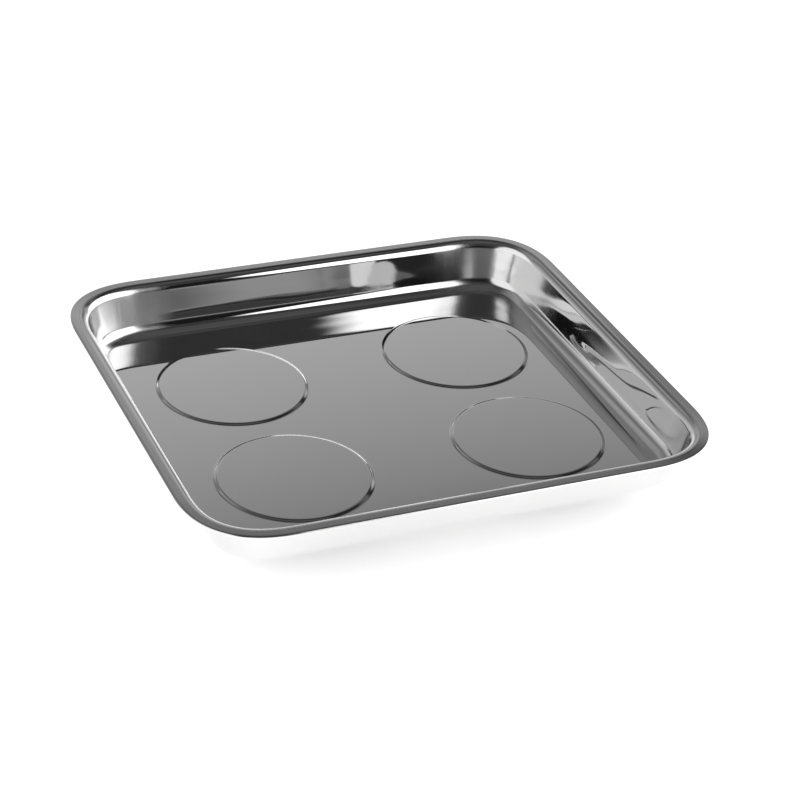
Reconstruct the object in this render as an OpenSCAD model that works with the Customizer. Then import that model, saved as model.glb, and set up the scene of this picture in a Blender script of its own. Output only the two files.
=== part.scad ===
// Magnetic parts tray: a pressed stainless steel tray for loose screws, with four ring magnets under it.
// Each magnet sits in a rubber boot that a washer and a nut hold on a stud welded under a raised pad.
// Millimetres, +Z up, the front towards -Y. The origin is on the bench, under the middle of the tray.

/* [Tray] */
// Length of the rim, left to right
tray_w = 290; // [245:1:400]
// Depth of the rim, front to rear
tray_d = 268; // [242:1:400]
// Height of the rim above the floor
tray_h = 27; // [22:0.5:50]
// Thickness of the steel sheet
sheet_t = 0.6; // [0.4:0.1:1]
// Radius of the rim's corners, at the outer edge
rim_corner_r = 42; // [36:1:60]
// Slope of the walls, in degrees from upright
wall_draft = 12; // [5:1:20]
// Radius of the fillet between floor and wall, inside the tray
floor_fillet_r = 13; // [5:0.5:15]

/* [Rim] */
// Width of the flat flange, from the bend to the outer edge
flange_w = 4.5; // [3:0.5:8]
// Radius of the bend from wall to flange, on its upper face
rim_bend_r = 7; // [4:0.5:9]
// Width of the edge that is folded back under the flange
hem_w = 4; // [2:0.5:5]
// Space left between the flange and its folded edge
hem_gap = 0.4; // [0.1:0.1:0.8]

/* [Pads] */
// Flat floor between a pad and the foot of the left or right wall
pad_side_room = 9; // [4:0.25:30]
// Flat floor between the front and rear pads
pad_gap = 11.8; // [4:0.2:32]
// How far the pads stand above the floor
pad_rise = 0.7; // [0.4:0.1:1.5]
// Width of the S-shaped slope around a pad
pad_slope_w = 3.2; // [1.8:0.1:4]
// Room between a boot and the start of the slope
pad_room = 0.6; // [0.3:0.1:1.5]

/* [Magnets] */
// Outer diameter of a ring magnet
magnet_d = 72; // [50:1:86]
// Bore of a ring magnet
magnet_bore = 32; // [26:1:40]
// Thickness of a ring magnet
magnet_h = 10; // [8:0.5:16]
// Chamfer on a ring magnet's edges
magnet_chamfer = 0.8; // [0.2:0.1:1.5]

/* [Boots] */
// Thickness of the skirt round a magnet
boot_wall = 2.6; // [2:0.1:5]
// Thickness of the sole under a magnet
boot_sole = 2.5; // [2:0.1:4]
// Rounding of the sole's outer edge
boot_edge_r = 1.8; // [0.5:0.1:2]
// Wall of the boss that stands in a magnet's bore
boot_boss_wall = 4.8; // [2:0.1:6]
// Thickness of the rubber that a washer clamps
boot_web = 2.6; // [2:0.1:4]
// Number of grip grooves in the sole
groove_count = 3; // [1:1:5]
// Width of a grip groove
groove_w = 1.6; // [0.8:0.1:2.5]
// Depth of a grip groove
groove_deep = 0.7; // [0.3:0.1:1.2]
// Room between a magnet and its boot, on each side
magnet_fit = 0.2; // [0.1:0.05:0.5]

/* [Fasteners] */
// Thread diameter of a stud
stud_d = 5; // [4:0.5:6]
// Diameter of a stud's weld flange
stud_flange_d = 7; // [6.5:0.5:9]
// Thickness of a stud's weld flange
stud_flange_t = 0.8; // [0.5:0.1:1.2]
// Length of stud that shows past the nut
stud_proud = 0.9; // [0.5:0.1:1.5]
// Chamfer on a stud's end
stud_chamfer = 0.5; // [0.2:0.1:0.8]
// Thickness of a washer
washer_t = 1.2; // [0.8:0.1:1.6]
// Room between a washer and the counterbore, on each side
washer_room = 1; // [0.5:0.1:2]
// Width of a nut across its flats
nut_af = 8; // [8:0.5:10]
// Height of a nut, with its collar
nut_h = 5; // [4:0.1:5]
// Chamfer on the corners of a nut
nut_chamfer = 0.7; // [0.3:0.1:1]
// Height of a nut's locking collar
nut_collar_h = 1.4; // [1:0.1:2]
// How far the collar stands back from the flats
nut_collar_step = 0.25; // [0.1:0.05:0.5]
// Rounding of the collar's edge
nut_collar_edge = 0.6; // [0.2:0.1:0.8]
// Room around the thread in a washer
thread_room = 0.15; // [0.1:0.05:0.4]
// Room around the stud in a boot
stud_room = 0.3; // [0.2:0.05:0.8]

/* [Hidden] */
$fn = 96;
// Kinds of piece under each pad
POD_PIECES = ["weld_stud", "ring_magnet", "rubber_boot", "clamp_washer", "lock_nut"];
// The pads' names, and the side of the tray that each lies on along X and Y
POD_SPOTS = [["front_left", -1, -1], ["front_right", 1, -1], ["rear_left", -1, 1], ["rear_right", 1, 1]];

// Heights above the bench
ceiling_z = boot_sole + magnet_h;
floor_z = ceiling_z + sheet_t - pad_rise;
washer_z = ceiling_z - boot_web - washer_t;
nut_z = washer_z - nut_h;
stud_end_z = nut_z - stud_proud;

// Section of the sheet, measured out from the centre of a rim corner and up from the floor
bend_turn = 90 - wall_draft;
hem_r = sheet_t + hem_gap / 2;
floor_inset = flange_w + tray_h * tan(wall_draft) + (rim_bend_r + floor_fillet_r) * tan(bend_turn / 2);
fillet_centre = [rim_corner_r - floor_inset, floor_fillet_r];
bend_centre = [rim_corner_r - flange_w, tray_h - rim_bend_r];
hem_centre = [rim_corner_r - hem_r, tray_h - hem_r];
// Flats that stand for a round bend
bend_steps = 12;
// Straight lengths between the rim's corners
run_x = tray_w - 2 * rim_corner_r;
run_y = tray_d - 2 * rim_corner_r;

// Boots, and the pads that they fit under
magnet_r = magnet_d / 2;
magnet_bore_r = magnet_bore / 2;
boot_pocket_r = magnet_r + magnet_fit;
boot_r = boot_pocket_r + boot_wall;
boot_boss_r = magnet_bore_r - magnet_fit;
counterbore_r = boot_boss_r - boot_boss_wall;
washer_r = counterbore_r - washer_room;
groove_pitch = (boot_r - boot_edge_r - counterbore_r) / (groove_count + 1);
pad_in_r = boot_r + pad_room;
pad_out_r = pad_in_r + pad_slope_w;
pad_curve_r = (pad_slope_w * pad_slope_w + pad_rise * pad_rise) / (4 * pad_rise);
pad_turn = 2 * atan(pad_rise / pad_slope_w);
// Flats that stand for a small round
small_steps = 6;
// Flat ring of floor that is drawn with each pad, and how much of it laps the floor around it
pad_land = 0.2;
pad_lap = 0.1;
pad_pitch_x = tray_w - 2 * (floor_inset + pad_side_room + pad_out_r);
pad_pitch_y = 2 * pad_out_r + pad_gap;

// Fasteners
stud_r = stud_d / 2;
stud_flange_r = stud_flange_d / 2;
nut_corner_r = nut_af / 2 / cos(30);
nut_collar_r = nut_af / 2 - nut_collar_step;
collar_edge_centre = [nut_collar_r - nut_collar_edge, nut_collar_edge];

// Reaches past a surface that is cut through
past = 1;

function arc(centre, r, from, to, steps) =
    [for (i = [0:steps]) let (a = from + (to - from) * i / steps) centre + r * [cos(a), sin(a)]];

function reversed(points) = [for (i = [len(points) - 1:-1:0]) points[i]];

// One face of the sheet, from the middle of the floor over wall and flange into the hem.
// Depth 0 is the face that is seen, and depth sheet_t the one behind it.
function sheet_face(depth) = concat(
    [[0, -depth]],
    arc(fillet_centre, floor_fillet_r + depth, -90, -wall_draft, bend_steps),
    arc(bend_centre, rim_bend_r - depth, 180 - wall_draft, 90, bend_steps),
    arc(hem_centre, hem_r - depth, 90, -90, bend_steps),
    [[hem_centre.x - hem_w, hem_centre.y - hem_r + depth]]
);

// One face of a raised pad, from its centre out over the S-shaped slope to the floor
function pad_face(depth) = concat(
    [[0, pad_rise - depth]],
    arc([pad_in_r, pad_rise - pad_curve_r], pad_curve_r - depth, 90, 90 - pad_turn, small_steps),
    arc([pad_out_r, pad_curve_r], pad_curve_r + depth, 270 - pad_turn, 270, small_steps),
    [[pad_out_r + pad_land, -depth]]
);

module sheet_section() {
    polygon(concat(sheet_face(0), reversed(sheet_face(sheet_t))));
}

module pad_section() {
    polygon(concat(pad_face(0), reversed(pad_face(sheet_t))));
}

module at_pad(spot) {
    translate([spot[1] * pad_pitch_x / 2, spot[2] * pad_pitch_y / 2, 0])
        children();
}

// One straight side, with its strip of floor, standing at x = 0 and facing +X
module tray_side(run) {
    rotate([90, 0, 0])
        linear_extrude(run, center = true)
            sheet_section();
}

// Floor, walls and rim before the pads are pressed in
module tray_blank() {
    for (side = [0, 1]) {
        rotate(180 * side)
            translate([run_x / 2, 0, 0])
                tray_side(run_y);
        rotate(90 + 180 * side)
            translate([run_y / 2, 0, 0])
                tray_side(run_x);
        rotate(180 * side) {
            translate([run_x / 2, run_y / 2, 0])
                rotate_extrude(angle = 90)
                    sheet_section();
            translate([-run_x / 2, run_y / 2, 0])
                rotate(90)
                    rotate_extrude(angle = 90)
                        sheet_section();
        }
    }
    translate([-run_x / 2, -run_y / 2, -sheet_t])
        cube([run_x, run_y, sheet_t]);
}

module tray() {
    color("silver")
        translate([0, 0, floor_z]) {
            difference() {
                tray_blank();
                for (spot = POD_SPOTS)
                    at_pad(spot)
                        translate([0, 0, -sheet_t - past])
                            cylinder(h = sheet_t + 2 * past, r = pad_out_r + pad_land - pad_lap);
            }
            for (spot = POD_SPOTS)
                at_pad(spot)
                    rotate_extrude()
                        pad_section();
        }
}

// Threaded stud with a weld flange against the underside of the pad
module weld_stud() {
    color("gainsboro")
        rotate_extrude()
            polygon([
                [0, stud_end_z],
                [stud_r - stud_chamfer, stud_end_z],
                [stud_r, stud_end_z + stud_chamfer],
                [stud_r, ceiling_z - stud_flange_t],
                [stud_flange_r, ceiling_z - stud_flange_t],
                [stud_flange_r, ceiling_z],
                [0, ceiling_z]
            ]);
}

module ring_magnet() {
    color("dimgray")
        rotate_extrude()
            polygon([
                [magnet_bore_r + magnet_chamfer, boot_sole],
                [magnet_r - magnet_chamfer, boot_sole],
                [magnet_r, boot_sole + magnet_chamfer],
                [magnet_r, ceiling_z - magnet_chamfer],
                [magnet_r - magnet_chamfer, ceiling_z],
                [magnet_bore_r + magnet_chamfer, ceiling_z],
                [magnet_bore_r, ceiling_z - magnet_chamfer],
                [magnet_bore_r, boot_sole + magnet_chamfer]
            ]);
}

// Moulded cup with a boss in the middle, a counterbore for the nut and grip grooves in its sole
module rubber_boot() {
    color([0.12, 0.12, 0.12])
        difference() {
            rotate_extrude()
                polygon(concat(
                    [[0, 0]],
                    arc([boot_r - boot_edge_r, boot_edge_r], boot_edge_r, -90, 0, bend_steps),
                    [[boot_r, ceiling_z], [0, ceiling_z]]
                ));
            translate([0, 0, boot_sole])
                difference() {
                    cylinder(h = magnet_h + past, r = boot_pocket_r);
                    cylinder(h = magnet_h + past, r = boot_boss_r);
                }
            translate([0, 0, -past])
                cylinder(h = ceiling_z - boot_web + past, r = counterbore_r);
            cylinder(h = ceiling_z + past, r = stud_r + stud_room);
            translate([0, 0, ceiling_z - stud_flange_t - stud_room])
                cylinder(h = stud_flange_t + stud_room + past, r = stud_flange_r + stud_room);
            for (i = [1:groove_count])
                grip_groove(counterbore_r + i * groove_pitch);
        }
}

module grip_groove(r) {
    translate([0, 0, -past])
        difference() {
            cylinder(h = groove_deep + past, r = r + groove_w / 2);
            cylinder(h = groove_deep + past, r = r - groove_w / 2);
        }
}

module clamp_washer() {
    color("gainsboro")
        translate([0, 0, washer_z])
            difference() {
                cylinder(h = washer_t, r = washer_r);
                translate([0, 0, -past])
                    cylinder(h = washer_t + 2 * past, r = stud_r + thread_room);
            }
}

// Hexagon nut against the washer, with its round locking collar below
module lock_nut() {
    color("gainsboro")
        translate([0, 0, nut_z])
            difference() {
                union() {
                    intersection() {
                        translate([0, 0, nut_collar_h])
                            cylinder(h = nut_h - nut_collar_h, r = nut_corner_r, $fn = 6);
                        rotate_extrude()
                            polygon([
                                [0, nut_collar_h],
                                [nut_corner_r - nut_chamfer, nut_collar_h],
                                [nut_corner_r, nut_collar_h + nut_chamfer / 2],
                                [nut_corner_r, nut_h - nut_chamfer / 2],
                                [nut_corner_r - nut_chamfer, nut_h],
                                [0, nut_h]
                            ]);
                    }
                    rotate_extrude()
                        polygon(concat(
                            [[0, 0]],
                            arc(collar_edge_centre, nut_collar_edge, -90, 0, small_steps),
                            [[nut_collar_r, nut_collar_h], [0, nut_collar_h]]
                        ));
                }
                translate([0, 0, -past])
                    cylinder(h = nut_h + 2 * past, r = stud_r);
            }
}

tray();
for (spot = POD_SPOTS)
    at_pad(spot) {
        weld_stud();
        ring_magnet();
        rubber_boot();
        clamp_washer();
        lock_nut();
    }
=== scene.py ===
"""Magnetic parts tray: looks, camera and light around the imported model."""
import math

import bmesh
import bpy
from mathutils import Matrix, Vector, noise
from mathutils.geometry import delaunay_2d_cdt


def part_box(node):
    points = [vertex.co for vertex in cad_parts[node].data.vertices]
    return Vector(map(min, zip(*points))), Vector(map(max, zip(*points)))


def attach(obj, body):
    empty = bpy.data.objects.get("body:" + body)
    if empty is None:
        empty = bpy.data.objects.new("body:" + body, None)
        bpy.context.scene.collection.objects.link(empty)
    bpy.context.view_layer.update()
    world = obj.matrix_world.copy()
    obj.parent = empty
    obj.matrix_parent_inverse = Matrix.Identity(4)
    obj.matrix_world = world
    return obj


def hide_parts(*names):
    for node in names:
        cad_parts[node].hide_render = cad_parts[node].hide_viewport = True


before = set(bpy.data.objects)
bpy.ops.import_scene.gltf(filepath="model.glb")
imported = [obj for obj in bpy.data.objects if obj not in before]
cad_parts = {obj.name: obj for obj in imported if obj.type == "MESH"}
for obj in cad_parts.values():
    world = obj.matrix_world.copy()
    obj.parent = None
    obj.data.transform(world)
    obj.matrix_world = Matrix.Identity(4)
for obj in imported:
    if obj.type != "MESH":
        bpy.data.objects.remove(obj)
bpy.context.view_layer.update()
scene = bpy.context.scene
MM = 0.001
SPOTS = ("front_left", "front_right", "rear_left", "rear_right")

# Sizes of the sheet in millimetres, as in the part's source
SHEET_T = 0.6
RIM_CORNER_R = 42.0
TRAY_H = 27.0
HEM_W = 4.0
HEM_GAP = 0.4
HEM_R = SHEET_T + HEM_GAP / 2
PAD_RISE = 0.7

# Sizes of the sheet as it is drawn, where they differ from the source
FLANGE_W = 5.0
PAD_SLOPE_W = 2.7
PAD_ROOM = 0.8
WALL_SLOPE = 75.7
FLANGE_SLOPE = -4.0
# Slope to which the floor's edge curves up, along the right wall and elsewhere
LIFT_R = 40.0
LIFT_RIGHT, LIFT_ELSEWHERE = 11.0, 1.5
# Arcs of the section: radius, slope in degrees where the arc ends, steps
FOOT_ARCS = ((0.15, 28.0, 8), (22.0, 36.0, 5), (9.0, 41.0, 4), (7.5, WALL_SLOPE, 18))
BEND_ARCS = ((2.6, 57.0, 9), (9.0, 45.0, 7), (5.0, 33.0, 6), (5.5, FLANGE_SLOPE, 19))
LIFT_STEPS, LEVEL_STEPS = 8, 10
WALL_STEPS, FLANGE_STEPS = 12, 4
HEM_STEPS, HEM_STEPS_LEAST, HEM_FOLD_STEPS = 12, 6, 3
# How far the floor's outermost ring lies inside its edge
EDGE_INSET = 0.8

# Steps round the rim
STRAIGHT_X, STRAIGHT_Y, CORNER_STEPS = 80, 72, 50
# Radius taken off the middle of each corner, so that the bend starts gently at its ends
EASE = 4.5
EASE_POWER = 4
EASE_FINE = 2000
# How far a corner's marks reach along the straight sides
CORNER_REACH = 34.0

# Waves of the drawn wall in millimetres, and the share of them away from the corners
BROAD_WAVE, SHORT_WAVE = 0.10, 0.04
CALM = 0.15
# Wrinkles everywhere, more of them on the right wall, most of them low on it
WRINKLE, WRINKLE_RIGHT, WRINKLE_LOW = 0.02, 0.05, 0.13
RIGHT_FROM, RIGHT_OVER = 90.0, 25.0
LOW_Z, LOW_REACH = 9.0, 5.0
WAVE_FADE = 1.5

# Rings of a pad: radii on its flat top, then distances from the slope's two ends
PAD_FLAT_R = (6.0, 13.0, 20.0, 27.0, 34.0)
PAD_TOP_INSETS = (2.0, 0.5)
PAD_SKIRTS = (0.5, 1.6)
# Loose points of the floor between the pads
GRID_STEP, GRID_X, GRID_Y = 5.0, 28, 26
PAD_CLEAR, EDGE_CLEAR = 4.0, 3.0
TOUCH = 0.02


def mm_box(node):
    low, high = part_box(node)
    return Vector(low) / MM, Vector(high) / MM


tray_high = mm_box("tray")[1]
RUN_X = tray_high.x - RIM_CORNER_R
RUN_Y = tray_high.y - RIM_CORNER_R
FLOOR_Z = tray_high.z - TRAY_H
boots = [mm_box(f"rubber_boot_{spot}") for spot in SPOTS]
pads = [((low.x + high.x) / 2, (low.y + high.y) / 2) for low, high in boots]
PAD_IN = (boots[-1][1].x - boots[-1][0].x) / 2 + PAD_ROOM
PAD_OUT = PAD_IN + PAD_SLOPE_W


def point(centre, r, degrees):
    a = math.radians(degrees)
    return centre[0] + r * math.cos(a), centre[1] + r * math.sin(a)


def arc(centre, r, start, end, steps):
    return [point(centre, r, start + (end - start) * i / steps) for i in range(steps + 1)]


def follow(place, slope, arcs, fine):
    """Points along a chain of tangent arcs, each with the slope there in degrees."""
    made = [(*place, slope)]
    for r, end, count in arcs:
        turn = 1 if end > slope else -1
        a = math.radians(slope)
        centre = (place[0] - turn * r * math.sin(a), place[1] + turn * r * math.cos(a))
        steps = max(2, round(count * fine))
        for i in range(1, steps + 1):
            now = slope + (end - slope) * i / steps
            a = math.radians(now)
            made.append((centre[0] + turn * r * math.sin(a), centre[1] - turn * r * math.cos(a), now))
        slope, place = end, made[-1][:2]
    return made


def straight(start, run, rise, steps, slope):
    """Points inside a straight stretch, each with its slope."""
    return [(start[0] + run * i / steps, start[1] + rise * i / steps, slope) for i in range(1, steps)]


# Width and height of the bend up to where it is level
level_arcs = BEND_ARCS[:-1] + ((BEND_ARCS[-1][0], 0.0, LEVEL_STEPS),)
level_u, level_z, _ = follow((0.0, 0.0), WALL_SLOPE, level_arcs, 1.0)[-1]


def section(depth, fine, lift):
    """One face of the sheet from the floor's edge over wall and flange into the hem.

    Each mark is a place, as distance out from a rim corner's centre and height above the floor, and the name
    of its stretch.
    """
    arcs = ((LIFT_R, lift, LIFT_STEPS),) + FOOT_ARCS
    rise_u, rise_z, _ = follow((0.0, 0.0), 0.0, arcs, fine)[-1]
    wall_rise = TRAY_H - rise_z - level_z
    wall_run = wall_rise / math.tan(math.radians(WALL_SLOPE))
    edge_u = RIM_CORNER_R - FLANGE_W - level_u - wall_run - rise_u
    foot = follow((edge_u, 0.0), 0.0, arcs, fine)
    foot_u, foot_z, _ = foot[-1]
    wall = straight((foot_u, foot_z), wall_run, wall_rise, WALL_STEPS, WALL_SLOPE)
    bend = follow((foot_u + wall_run, foot_z + wall_rise), WALL_SLOPE, BEND_ARCS, fine)
    bend_u, bend_z, _ = bend[-1]
    drop = math.radians(FLANGE_SLOPE)
    hem_u = RIM_CORNER_R - HEM_R
    end_u = hem_u - HEM_R * math.sin(drop)
    end_z = bend_z + (end_u - bend_u) * math.tan(drop)
    flange = straight((bend_u, bend_z), end_u - bend_u, end_z - bend_z, FLANGE_STEPS, FLANGE_SLOPE)
    marks = [((edge_u - EDGE_INSET, -depth), "floor")]
    for stretch, name in ((foot, "foot"), (wall, "wall"), (bend, "bend"), (flange, "flange")):
        for u, z, slope in stretch:
            a = math.radians(slope)
            marks.append(((u + depth * math.sin(a), z - depth * math.cos(a)), name))
    hem_centre = (hem_u, end_z - HEM_R * math.cos(drop))
    hem_steps = max(round(HEM_STEPS * fine), HEM_STEPS_LEAST)
    hem = arc(hem_centre, HEM_R - depth, 90 + FLANGE_SLOPE, -90, hem_steps)
    marks += [(p, "hem") for p in hem]
    for i in range(1, HEM_FOLD_STEPS + 1):
        marks.append(((hem_u - HEM_W * i / HEM_FOLD_STEPS, hem[-1][1]), "hem"))
    return marks


def eased_corner():
    """Steps round one corner that tightens towards its middle, and how early it starts.

    Each step is the turn in degrees, the base point's shift and the radius added.
    """
    half = math.pi / 4
    ends = plain = 0.0
    for i in range(EASE_FINE):
        a = half * (i + 0.5) / EASE_FINE
        ends += (1 - a / half) ** EASE_POWER * math.sin(a)
        plain += math.sin(a)
    at_ends = EASE * plain / ends

    def added(a):
        return at_ends * ((a - half) / half) ** EASE_POWER - EASE

    walk = [(0.0, 0.0)]
    for i in range(2 * EASE_FINE):
        a = half * (i + 0.5) / EASE_FINE
        step = added(a) * half / EASE_FINE
        walk.append((walk[-1][0] - step * math.sin(a), walk[-1][1] + step * math.cos(a)))
    early = walk[-1][1]
    made = []
    for i in range(CORNER_STEPS):
        x, y = walk[2 * EASE_FINE * i // CORNER_STEPS]
        a = 2 * half * i / CORNER_STEPS
        made.append((math.degrees(a), x, y - early, added(a)))
    return made, early


def stations():
    """Places round the rim and the rim's length.

    Each place is a base point, the way out, the length along the rim and how near a corner is, from 0 to 1.
    """
    made = []
    along = 0.0
    corner, early = eased_corner()
    sides = (
        ((RUN_X, -RUN_Y), (RUN_X, RUN_Y), 0, STRAIGHT_Y),
        ((RUN_X, RUN_Y), (-RUN_X, RUN_Y), 90, STRAIGHT_X),
        ((-RUN_X, RUN_Y), (-RUN_X, -RUN_Y), 180, STRAIGHT_Y),
        ((-RUN_X, -RUN_Y), (RUN_X, -RUN_Y), 270, STRAIGHT_X),
    )
    for a, b, way, steps in sides:
        length = math.hypot(b[0] - a[0], b[1] - a[1])
        c, d = math.cos(math.radians(way)), math.sin(math.radians(way))
        for i in range(steps):
            edge = early + (length - 2 * early) * i / steps
            t = edge / length
            near = max(0, 1 - (min(edge, length - edge) - early) / CORNER_REACH)
            x, y = a[0] + (b[0] - a[0]) * t, a[1] + (b[1] - a[1]) * t
            made.append((x, y, c, d, along + edge, near))
        along += length - early
        for turn, x, y, added in corner:
            out = math.radians(way + turn)
            x, y = b[0] + c * x - d * y, b[1] + d * x + c * y
            made.append((x, y, math.cos(out), math.sin(out), along, 1.0))
            along += math.radians(90 / CORNER_STEPS) * (RIM_CORNER_R + added)
        along -= early
    return made, along


ring_stations, rim_length = stations()
COUNT = len(ring_stations)


def out_from_runs(x, y):
    """Distance out from the rectangle between the rim corners' centres."""
    dx, dy = abs(x) - RUN_X, abs(y) - RUN_Y
    return math.hypot(max(dx, 0), max(dy, 0)) + min(max(dx, dy), 0)


def wander(x, y, z, across, up, shift_x=0.0, shift_z=0.0):
    """Smooth noise over the wall: its rate per millimetre across and up, and where it starts."""
    return noise.noise(Vector((x * across + shift_x, y * across, z * up + shift_z)))


def wave(x, y, z, corner):
    """How far the drawn wall wanders from its true line, most near the corners and on the right."""
    broad = wander(x, y, z, across=0.021, up=0.03, shift_z=3.1)
    short = wander(x, y, z, across=0.06, up=0.02, shift_x=9.0)
    wrinkle = wander(x, y, z, across=0.017, up=0.14, shift_z=7.0)
    right = min(max((x - RIGHT_FROM) / RIGHT_OVER, 0.0), 1.0)
    low = math.exp(-((z - LOW_Z) / LOW_REACH) ** 2)
    waves = (BROAD_WAVE * broad + SHORT_WAVE * short) * (CALM + (1 - CALM) * corner)
    return waves + wrinkle * (WRINKLE + right * (WRINKLE_RIGHT + WRINKLE_LOW * low))


# Mesh of the sheet: points, faces, and for each point its tags (rim, wall, corner) and its place for the grain
verts, faces, tags, sweep = [], [], [], []
PLAIN = (0, 0, 0)


def add(x, y, z, tag, uv):
    verts.append((x, y, z))
    tags.append(tag)
    sweep.append(uv)
    return len(verts) - 1


def add_rings(depth, fine):
    """One closed ring of points per mark of the section; returns the rings."""
    rings = []
    travel = 0.0
    marks = section(depth, fine, LIFT_ELSEWHERE)
    lifted = section(depth, fine, LIFT_RIGHT)
    last = marks[0][0]
    for ((plain_u, plain_z), name), ((right_u, right_z), _) in zip(marks, lifted):
        travel += math.hypot(plain_u - last[0], plain_z - last[1])
        last = (plain_u, plain_z)
        on_rim, on_wall = name in ("flange", "hem"), name in ("foot", "wall", "bend")
        ring = []
        for bx, by, nx, ny, along, corner in ring_stations:
            # the floor's edge curves up along the right wall
            part = max(1.0 - math.atan2(abs(ny), nx) / (math.pi / 2), 0.0)
            part = part * part * (3 - 2 * part)
            u = plain_u + (right_u - plain_u) * part
            z = plain_z + (right_z - plain_z) * part
            shift = 0.0
            if on_wall:
                # nothing moves at the floor or the rim
                height = min(max(z / TRAY_H, 0.0), 1.0)
                shift = wave(bx + nx * u, by + ny * u, z, corner) * math.sin(math.pi * height) ** WAVE_FADE
            tag = (float(on_rim), float(on_wall), corner)
            x, y = bx + nx * (u + shift), by + ny * (u + shift)
            ring.append(add(x, y, FLOOR_Z + z, tag, (along, travel)))
        rings.append(ring)
    return rings


def join(a, b):
    for j in range(COUNT):
        k = (j + 1) % COUNT
        faces.append((a[j], a[k], b[k], b[j]))


upper = add_rings(0.0, 1.0)
lower = add_rings(SHEET_T, 0.4)
for rings in (upper, lower):
    for a, b in zip(rings, rings[1:]):
        join(a, b)
join(upper[-1], lower[-1])


def pad_profile(depth, steps):
    """Radius and height above the floor, from a pad's flat top down its slope to the floor."""
    curve_r = (PAD_SLOPE_W ** 2 + PAD_RISE ** 2) / (4 * PAD_RISE)
    turn = math.degrees(2 * math.atan(PAD_RISE / PAD_SLOPE_W))
    flat = [(r, PAD_RISE - depth) for r in (*PAD_FLAT_R, *(PAD_IN - inset for inset in PAD_TOP_INSETS))]
    crest = arc((PAD_IN, PAD_RISE - curve_r), curve_r - depth, 90, 90 - turn, steps)
    toe = arc((PAD_OUT, curve_r), curve_r + depth, 270 - turn, 270, steps)
    return flat + crest + toe[1:] + [(PAD_OUT + skirt, -depth) for skirt in PAD_SKIRTS]


def from_pads(x, y):
    """Distance from the middle of the nearest pad."""
    return min(math.hypot(x - px, y - py) for px, py in pads)


def within(place, ring):
    """Whether a point of the floor lies inside a ring of points."""
    crossed = False
    for i, k in zip(ring, ring[1:] + ring[:1]):
        (ax, ay, _), (bx, by, _) = verts[i], verts[k]
        if (ay > place.y) != (by > place.y) and place.x < ax + (place.y - ay) / (by - ay) * (bx - ax):
            crossed = not crossed
    return crossed


def add_floor(edge, depth, steps, around):
    """Floor with its four pads inside the ring of points at its edge."""
    loops = [edge]
    for px, py in pads:
        rows = []
        for r, z in pad_profile(depth, steps):
            row = []
            for i in range(around):
                a = math.tau * i / around
                x, y = px + r * math.cos(a), py + r * math.sin(a)
                row.append(add(x, y, FLOOR_Z + z, PLAIN, (x, y)))
            rows.append(row)
        middle = add(px, py, FLOOR_Z + PAD_RISE - depth, PLAIN, (px, py))
        for i in range(around):
            k = (i + 1) % around
            faces.append((middle, rows[0][i], rows[0][k]))
            for a, b in zip(rows, rows[1:]):
                faces.append((a[i], b[i], b[k], a[k]))
        loops.append(rows[-1])

    # the flat part between the loops, with loose points so that no face is long and thin
    ids = [i for loop in loops for i in loop]
    flat = [Vector(verts[i][:2]) for i in ids]
    edges, first = [], 0
    for loop in loops:
        edges += [(first + i, first + (i + 1) % len(loop)) for i in range(len(loop))]
        first += len(loop)
    floor_reach = section(depth, 1.0, LIFT_RIGHT)[0][0][0] - EDGE_CLEAR
    for i in range(-GRID_X, GRID_X + 1):
        for j in range(-GRID_Y, GRID_Y + 1):
            x, y = i * GRID_STEP, j * GRID_STEP
            if from_pads(x, y) > PAD_OUT + PAD_CLEAR and out_from_runs(x, y) < floor_reach:
                flat.append(Vector((x, y)))
    points, _, cells, came_from, _, _ = delaunay_2d_cdt(flat, edges, [], 0, 1e-9)
    made = []
    for p, origin in zip(points, came_from):
        if origin and origin[0] < len(ids):
            made.append(ids[origin[0]])
        else:
            made.append(add(p.x, p.y, FLOOR_Z - depth, PLAIN, (p.x, p.y)))
    on_edge = set(edge)
    for cell in cells:
        middle = sum((points[i] for i in cell), Vector((0, 0))) / len(cell)
        on_pad = from_pads(middle.x, middle.y) < PAD_OUT + PAD_SKIRTS[-1] - TOUCH
        at_edge = all(made[i] in on_edge for i in cell)
        if not on_pad and (not at_edge or within(middle, edge)):
            faces.append(tuple(made[i] for i in cell))


add_floor(upper[0], 0.0, steps=12, around=168)
add_floor(lower[0], SHEET_T, steps=7, around=96)


def mesh_object(name, points, polygons):
    mesh = bpy.data.meshes.new(name)
    mesh.from_pydata([(x * MM, y * MM, z * MM) for x, y, z in points], [], polygons)
    mesh.validate()
    work = bmesh.new()
    work.from_mesh(mesh)
    bmesh.ops.recalc_face_normals(work, faces=work.faces)
    work.to_mesh(mesh)
    work.free()
    for polygon in mesh.polygons:
        polygon.use_smooth = True
    made = bpy.data.objects.new(name, mesh)
    scene.collection.objects.link(made)
    return made


SHARP_FROM = 50
tray = mesh_object("pressed_tray", verts, faces)
for place, name in enumerate(("rim", "wall", "corner")):
    layer = tray.data.attributes.new(name, "FLOAT", "POINT")
    for i, tag in enumerate(tags):
        layer.data[i].value = tag[place]
uv_layer = tray.data.uv_layers.new(name="sweep")
for polygon in tray.data.polygons:
    longest = max(sweep[tray.data.loops[i].vertex_index][0] for i in polygon.loop_indices)
    for i in polygon.loop_indices:
        u, v = sweep[tray.data.loops[i].vertex_index]
        # the last face round the rim ends where the first one starts
        if longest - u > rim_length / 2:
            u += rim_length
        uv_layer.data[i].uv = (u * MM, v * MM)
tray.data.set_sharp_from_angle(angle=math.radians(SHARP_FROM))
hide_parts("tray")
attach(tray, "root")


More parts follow.
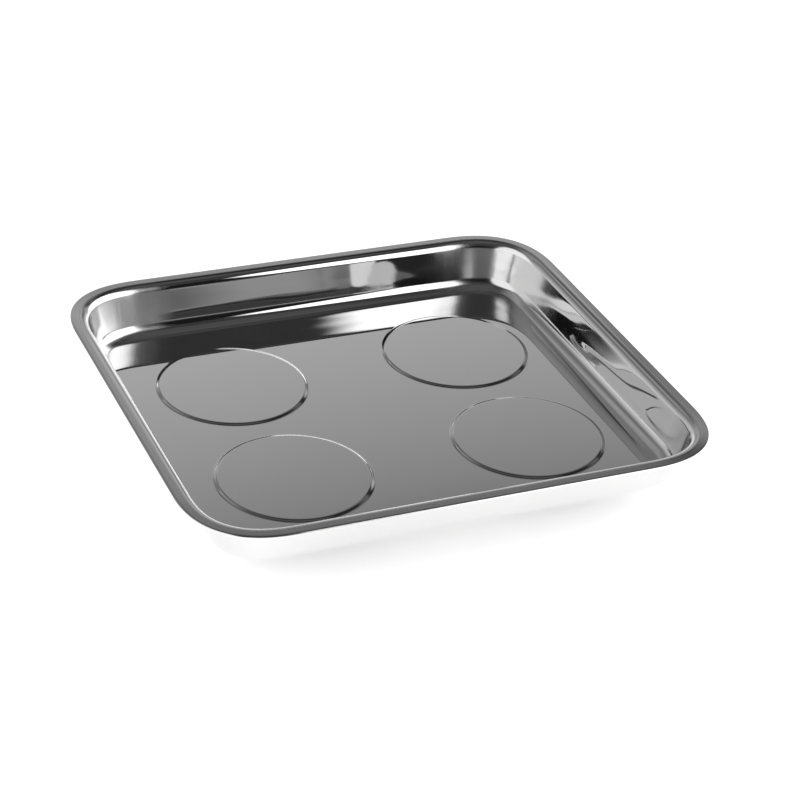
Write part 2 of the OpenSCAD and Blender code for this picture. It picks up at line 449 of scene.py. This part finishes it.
# Materials
class Nodes:
    """Short calls for building a node tree."""

    def __init__(self, tree):
        self.tree = tree
        tree.nodes.clear()

    def new(self, kind, **settings):
        node = self.tree.nodes.new(kind)
        for key, value in settings.items():
            setattr(node, key, value)
        return node

    def link(self, source, target):
        self.tree.links.new(source, target)

    def put(self, socket, value):
        if isinstance(value, bpy.types.NodeSocket):
            self.link(value, socket)
        else:
            socket.default_value = value

    def math(self, operation, a, b=0.0, c=0.0):
        node = self.new("ShaderNodeMath", operation=operation)
        for socket, value in zip(node.inputs, (a, b, c)):
            self.put(socket, value)
        return node.outputs[0]

    def times(self, a, b):
        return self.math("MULTIPLY", a, b)

    def share(self, value, amount, base):
        """The value times an amount, on top of a base."""
        return self.math("MULTIPLY_ADD", value, amount, base)

    def ramp(self, value, low, high, to_low=0.0, to_high=1.0):
        node = self.new("ShaderNodeMapRange", interpolation_type="SMOOTHSTEP", clamp=True)
        for socket, item in zip(node.inputs, (value, low, high, to_low, to_high)):
            self.put(socket, item)
        return node.outputs[0]

    def blend(self, factor, a, b):
        node = self.new("ShaderNodeMix", data_type="FLOAT")
        for socket, value in zip((node.inputs[0], node.inputs[2], node.inputs[3]), (factor, a, b)):
            self.put(socket, value)
        return node.outputs[0]

    def noise(self, vector, scale=1.0, detail=3.0, rough=0.55):
        node = self.new("ShaderNodeTexNoise")
        self.put(node.inputs["Vector"], vector)
        node.inputs["Scale"].default_value = scale
        node.inputs["Detail"].default_value = detail
        node.inputs["Roughness"].default_value = rough
        return node.outputs["Fac"]

    def stretched(self, vector, scale):
        node = self.new("ShaderNodeMapping")
        self.put(node.inputs["Vector"], vector)
        node.inputs["Scale"].default_value = scale
        return node.outputs[0]

    def colours(self, factor, a, b):
        node = self.new("ShaderNodeMix", data_type="RGBA")
        self.put(node.inputs[0], factor)
        node.inputs[6].default_value = (*a, 1)
        node.inputs[7].default_value = (*b, 1)
        return node.outputs[2]

    def bump(self, height, distance, strength, normal=None):
        node = self.new("ShaderNodeBump")
        self.put(node.inputs["Height"], height)
        node.inputs["Distance"].default_value = distance
        self.put(node.inputs["Strength"], strength)
        if normal is not None:
            self.link(normal, node.inputs["Normal"])
        return node.outputs[0]


def material(name):
    made = bpy.data.materials.new(name)
    made.use_nodes = True
    n = Nodes(made.node_tree)
    shader = n.new("ShaderNodeBsdfPrincipled")
    output = n.new("ShaderNodeOutputMaterial")
    n.link(shader.outputs[0], output.inputs[0])
    place = n.new("ShaderNodeTexCoord").outputs["Object"]
    return made, n, shader, place


# Roughness of the tray's steel: the polish, and what each mark adds to it
POLISHED = 0.02
SMUDGE_ROUGH = 0.025
RIM_ROUGH, RIM_LINES_ROUGH = 0.10, 0.08
CORNER_ROUGH = 0.20
SPECK_ROUGH = 0.25


def mirror_steel():
    """Polished sheet with smudges and dust specks, drawn grain in the corners and polishing lines on the rim."""
    made, n, shader, place = material("bright_stainless")
    shader.inputs["Metallic"].default_value = 1.0
    uv = n.new("ShaderNodeUVMap", uv_map="sweep").outputs[0]
    rim, wall, corner = (
        n.new("ShaderNodeAttribute", attribute_name=name).outputs["Fac"] for name in ("rim", "wall", "corner")
    )
    smudge = n.noise(place, scale=26.0, detail=4.0)
    grain = n.noise(place, scale=900.0, detail=2.0)
    flat = n.math("SUBTRACT", 1.0, n.math("MAXIMUM", wall, rim))
    speck = n.times(flat, n.ramp(n.noise(place, scale=300.0, detail=1.0), low=0.83, high=0.87))
    draw = n.noise(n.stretched(uv, (900.0, 14.0, 1.0)), detail=4.0, rough=0.62)
    polish = n.noise(n.stretched(uv, (16.0, 2600.0, 1.0)))
    drawn = n.times(wall, corner)
    tone = n.math("ADD", n.times(smudge, 0.6), n.times(grain, 0.4))
    n.link(n.colours(tone, (0.70, 0.70, 0.70), (0.75, 0.75, 0.748)), shader.inputs["Base Color"])
    rough = n.share(n.ramp(smudge, low=0.45, high=0.75), SMUDGE_ROUGH, POLISHED)
    rough = n.share(rim, RIM_ROUGH, rough)
    rough = n.share(n.times(rim, polish), RIM_LINES_ROUGH, rough)
    streaks = n.times(n.ramp(drawn, low=0.3, high=1.0), n.share(draw, 0.5, 0.5))
    rough = n.share(streaks, CORNER_ROUGH, rough)
    rough = n.share(speck, SPECK_ROUGH, rough)
    n.link(rough, shader.inputs["Roughness"])
    lines = n.bump(draw, distance=0.00003, strength=n.times(drawn, 0.5))
    lines = n.bump(polish, distance=0.00001, strength=n.times(rim, 0.6), normal=lines)
    n.link(lines, shader.inputs["Normal"])
    return made


def rubber():
    """Moulded matt rubber with a little dust."""
    made, n, shader, place = material("black_rubber")
    cloud = n.noise(place, scale=60.0, detail=4.0)
    grain = n.noise(place, scale=2600.0, detail=2.0)
    dust = n.ramp(n.noise(place, scale=240.0, detail=5.0, rough=0.7), low=0.55, high=0.8)
    tone = n.share(dust, 0.5, n.times(cloud, 0.5))
    n.link(n.colours(tone, (0.016, 0.016, 0.017), (0.05, 0.049, 0.047)), shader.inputs["Base Color"])
    n.link(n.share(cloud, 0.25, 0.5), shader.inputs["Roughness"])
    shader.inputs["Specular IOR Level"].default_value = 0.4
    n.link(n.bump(grain, distance=0.00008, strength=0.6), shader.inputs["Normal"])
    return made


def ferrite():
    """Ground ceramic with pits and grinding scratches."""
    made, n, shader, place = material("ground_ferrite")
    cloud = n.noise(place, scale=90.0, detail=5.0, rough=0.65)
    pit = n.ramp(n.noise(place, scale=1500.0, detail=2.0), low=0.62, high=0.72)
    scratch = n.noise(n.stretched(place, (1600.0, 40.0, 40.0)), detail=2.0)
    n.link(n.colours(cloud, (0.05, 0.05, 0.054), (0.10, 0.10, 0.105)), shader.inputs["Base Color"])
    n.link(n.share(scratch, 0.3, 0.38), shader.inputs["Roughness"])
    n.link(n.bump(n.share(pit, -1.0, scratch), distance=0.00003, strength=0.6), shader.inputs["Normal"])
    return made


def zinc():
    """Bright zinc plate with fine crystals."""
    made, n, shader, place = material("zinc_plate")
    shader.inputs["Metallic"].default_value = 1.0
    cell = n.new("ShaderNodeTexVoronoi", feature="F1")
    n.put(cell.inputs["Vector"], place)
    cell.inputs["Scale"].default_value = 700.0
    cloud = n.noise(place, scale=130.0, detail=4.0)
    tone = n.share(cell.outputs["Distance"], 0.5, n.times(cloud, 0.6))
    n.link(n.colours(tone, (0.58, 0.60, 0.63), (0.74, 0.75, 0.74)), shader.inputs["Base Color"])
    n.link(n.share(cloud, 0.3, 0.18), shader.inputs["Roughness"])
    n.link(n.bump(cloud, distance=0.00004, strength=0.4), shader.inputs["Normal"])
    return made


def washed_steel():
    """Weld stud steel under a thin, uneven wash of copper."""
    made, n, shader, place = material("copper_washed_steel")
    shader.inputs["Metallic"].default_value = 1.0
    cloud = n.noise(place, scale=300.0, detail=5.0, rough=0.65)
    tone = n.ramp(cloud, low=0.35, high=0.65)
    n.link(n.colours(tone, (0.62, 0.42, 0.29), (0.56, 0.53, 0.49)), shader.inputs["Base Color"])
    n.link(n.share(cloud, 0.35, 0.2), shader.inputs["Roughness"])
    n.link(n.bump(cloud, distance=0.00004, strength=0.5), shader.inputs["Normal"])
    return made


tray.data.materials.append(mirror_steel())
finishes = {
    "weld_stud": washed_steel(),
    "ring_magnet": ferrite(),
    "rubber_boot": rubber(),
    "clamp_washer": zinc(),
    "lock_nut": zinc(),
}
for kind, finish in finishes.items():
    for spot in SPOTS:
        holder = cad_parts[f"{kind}_{spot}"]
        holder.data.materials.clear()
        holder.data.materials.append(finish)

# Camera, fitted to the rim and the pads in the photograph: angles in degrees, lengths in millimetres
AZIMUTH, ELEVATION, ROLL = (math.radians(v) for v in (-24.76, 30.7117, 3.9889))
TARGET = Vector((15.8894, 7.3851, 12.5))
DISTANCE = 1284.7794
LENS, SENSOR = 105.367, 36.0
CLIP = (0.05, 50.0)
back = Vector((
    math.sin(AZIMUTH) * math.cos(ELEVATION),
    -math.cos(AZIMUTH) * math.cos(ELEVATION),
    math.sin(ELEVATION),
))
right = Vector((math.cos(AZIMUTH), math.sin(AZIMUTH), 0))
up = right.cross(-back)
turned = right * math.cos(ROLL) + up * math.sin(ROLL)
upward = up * math.cos(ROLL) - right * math.sin(ROLL)
camera_data = bpy.data.cameras.new("camera")
camera_data.lens = LENS
camera_data.sensor_width = SENSOR
camera_data.clip_start, camera_data.clip_end = CLIP
camera = bpy.data.objects.new("camera", camera_data)
scene.collection.objects.link(camera)
stand = (TARGET + back * DISTANCE) * MM
camera.matrix_world = Matrix((
    (turned.x, upward.x, back.x, stand.x),
    (turned.y, upward.y, back.y, stand.y),
    (turned.z, upward.z, back.z, stand.z),
    (0, 0, 0, 1),
))
scene.camera = camera

# Floor of white paper, a little below the soles, in millimetres
PAPER_HALF = 6000.0
PAPER_Z = -0.05
# Light that the paper adds: where it is seen, in the metal as well, and far out where the softboxes don't reach
GLOW_SEEN, GLOW_IN_METAL, GLOW_FAR = 0.36, 0.16, 0.35
FAR_FROM, FAR_FULL = 0.5, 0.85
paper_corners = [(x * PAPER_HALF, y * PAPER_HALF, PAPER_Z) for x, y in ((-1, -1), (1, -1), (1, 1), (-1, 1))]
floor = mesh_object("studio_floor", paper_corners, [(0, 1, 2, 3)])
paper, n, shader, place = material("white_paper")
shader.inputs["Roughness"].default_value = 0.9
shader.inputs["Specular IOR Level"].default_value = 0.1
fibre = n.noise(place, scale=3.0, detail=2.0)
n.link(n.colours(fibre, (0.90, 0.90, 0.90), (0.915, 0.915, 0.912)), shader.inputs["Base Color"])
rays = n.new("ShaderNodeLightPath").outputs
mirrors = n.math("MAXIMUM", rays["Is Glossy Ray"], rays["Is Transmission Ray"])
seen = n.math("MAXIMUM", rays["Is Camera Ray"], mirrors)
reach = n.new("ShaderNodeVectorMath", operation="LENGTH")
n.link(place, reach.inputs[0])
beyond = n.times(rays["Is Camera Ray"], n.ramp(reach.outputs["Value"], FAR_FROM, FAR_FULL))
glow = n.share(rays["Is Glossy Ray"], GLOW_IN_METAL, n.times(seen, GLOW_SEEN))
shader.inputs["Emission Color"].default_value = (1, 1, 1, 1)
n.link(n.share(beyond, GLOW_FAR, glow), shader.inputs["Emission Strength"])
floor.data.materials.append(paper)

# Two tall softboxes beside the tray give the soft light; the world paints them for the metal
FAR = Vector((math.sin(-AZIMUTH), math.cos(-AZIMUTH), 0))
SIDE = Vector((math.cos(-AZIMUTH), -math.sin(-AZIMUTH), 0))


def softbox(name, bearing, distance, width, height, middle_z, radiance):
    """An upright lamp: bearing in degrees from the camera's far direction, to the right; lengths in metres."""
    data = bpy.data.lights.new(name, "AREA")
    data.shape = "RECTANGLE"
    data.size, data.size_y = width, height
    data.energy = radiance * math.pi * width * height
    lamp = bpy.data.objects.new(name, data)
    way = FAR * math.cos(math.radians(bearing)) + SIDE * math.sin(math.radians(bearing))
    middle = Vector((0, 0, middle_z))
    lamp.location = way * distance + middle
    lamp.rotation_mode = "QUATERNION"
    lamp.rotation_quaternion = (middle - lamp.location).to_track_quat("-Z", "Y")
    lamp.visible_camera = False
    lamp.visible_glossy = False
    scene.collection.objects.link(lamp)


softbox("softbox_right", bearing=87, distance=0.85, width=0.97, height=1.6, middle_z=0.80, radiance=2.0)
softbox("softbox_left", bearing=-113, distance=0.85, width=1.2, height=1.2, middle_z=0.60, radiance=2.0)

# World: white to the camera, a pale dome for soft light, and in the metal a white sweep under a dark ceiling
DOME = 0.46
PANEL_LIGHT, LEFT_PANEL_LIGHT = 2.0, 1.15
# Brightness that the metal mirrors at heights in degrees, by the way it faces
AHEAD = (
    (0, 0.95), (9, 0.93), (12, 0.60), (15, 0.36), (21, 0.34), (25, 0.48), (28.5, 0.51), (31, 0.40), (33, 0.30),
    (34.6, 0.16), (35.6, 0.035), (40.0, 0.03), (43, 0.14), (49, 0.11), (54, 0.025), (70, 0.025), (78, 0.09),
    (90, 0.09),
)
FAR_LEFT = (
    (0, 0.60), (14, 0.62), (17, 0.50), (20, 0.46), (26, 0.28), (31, 0.18), (35, 0.21), (38, 0.40), (41, 0.30),
    (50, 0.25), (62, 0.09), (90, 0.09),
)
BEHIND = (
    (0, 0.20), (5, 0.16), (9, 0.03), (18, 0.012), (44, 0.012), (51, 0.05), (66, 0.05), (69, 0.085), (90, 0.09),
)
# Bearings over which one view passes into the next
LEFT_TO_AHEAD = (-38.0, -14.0)
SIDES_TO_BEHIND = (66.0, 82.0)
# The view ahead leans: bearings over which it does, and by how many degrees
LEAN, LEAN_BY = (-14.0, 14.0), 4.4
FALL, FALL_BY = (14.0, 40.0), 6.0
# Patches in the views ahead by what mirrors them: bearings and heights of each edge's start and end, brightness
PATCHES = {
    "right flange": ((6.5, 9.5, 17.0, 24.0), (12.0, 16.0, 26.2, 27.8), 0.17),
    "left end of the rear wall": ((-13.0, -10.0, -7.2, -4.6), (20.8, 22.0, 26.9, 27.7), 0.20),
    "left flange": ((-34.0, -28.0, -14.8, -12.9), (29.5, 31.0, 36.0, 38.0), 0.22),
    "front flange": ((-16.0, -12.0, 10.0, 14.0), (36.0, 37.0, 42.0, 44.0), 0.22),
}

world = bpy.data.worlds.new("studio")
scene.world = world
world.use_nodes = True
w = Nodes(world.node_tree)
turn = w.new("ShaderNodeVectorRotate", rotation_type="Z_AXIS")
w.link(w.new("ShaderNodeTexCoord").outputs["Generated"], turn.inputs["Vector"])
turn.inputs["Angle"].default_value = -AZIMUTH
axes = w.new("ShaderNodeSeparateXYZ")
w.link(turn.outputs[0], axes.inputs[0])
bearing = w.math("DEGREES", w.math("ARCTAN2", axes.outputs["X"], axes.outputs["Y"]))
height = w.math("DEGREES", w.math("ARCSINE", axes.outputs["Z"]))


def levels(value, stops):
    """Brightness over an angle, straight between the stops."""
    node = w.new("ShaderNodeValToRGB")
    elements = node.color_ramp.elements
    while len(elements) < len(stops):
        elements.new(0.5)
    for element, (degrees, amount) in zip(elements, stops):
        element.position = degrees / 90
        element.color = (amount, amount, amount, 1)
    w.link(w.math("DIVIDE", value, 90.0), node.inputs[0])
    return node.outputs[0]


def panel(centre, top, near, far):
    """A rounded panel in the sky: bearing of its middle, height, and half width with edge power on either side."""
    off = w.math("WRAP", w.math("SUBTRACT", bearing, centre), 180.0, -180.0)
    past = w.math("GREATER_THAN", off, 0.0)
    width, power = w.blend(past, near[0], far[0]), w.blend(past, near[1], far[1])
    across = w.math("POWER", w.math("DIVIDE", w.math("ABSOLUTE", off), width), power)
    above = w.math("POWER", w.math("DIVIDE", w.math("MAXIMUM", height, 0.0), top), power)
    return w.ramp(w.math("ADD", across, above), 0.95, 1.05, 1.0, 0.0)


def window(value, low, full_low, full_high, high):
    """One between the full limits, falling to nothing at the outer ones."""
    return w.times(w.ramp(value, low, full_low), w.ramp(value, full_high, high, 1.0, 0.0))


leaning = w.share(w.ramp(bearing, *LEAN), LEAN_BY, w.math("SUBTRACT", height, LEAN_BY / 2))
leaning = w.share(w.ramp(bearing, *FALL), FALL_BY, leaning)
mirrored = w.blend(w.ramp(bearing, *LEFT_TO_AHEAD), levels(height, FAR_LEFT), levels(leaning, AHEAD))
for turns, rises, amount in PATCHES.values():
    mirrored = w.blend(w.times(window(bearing, *turns), window(height, *rises)), mirrored, amount)
aside = w.math("ABSOLUTE", bearing)
mirrored = w.blend(w.ramp(aside, *SIDES_TO_BEHIND), mirrored, levels(height, BEHIND))
right_panel = panel(87.0, top=56.2, near=(52.0, 1.8), far=(46.5, 5.0))
mirrored = w.blend(right_panel, mirrored, PANEL_LIGHT)
left_panel = panel(-118.0, top=55.0, near=(44.0, 2.5), far=(48.0, 2.5))
mirrored = w.blend(left_panel, mirrored, LEFT_PANEL_LIGHT)
rays = w.new("ShaderNodeLightPath").outputs
mirrors = w.math("MAXIMUM", rays["Is Glossy Ray"], rays["Is Transmission Ray"])
shown = w.blend(rays["Is Camera Ray"], w.blend(mirrors, DOME, mirrored), 1.0)
background = w.new("ShaderNodeBackground")
background.inputs["Color"].default_value = (1, 1, 1, 1)
w.link(shown, background.inputs["Strength"])
world_output = w.new("ShaderNodeOutputWorld")
w.link(background.outputs[0], world_output.inputs[0])

scene.view_settings.view_transform = "Standard"
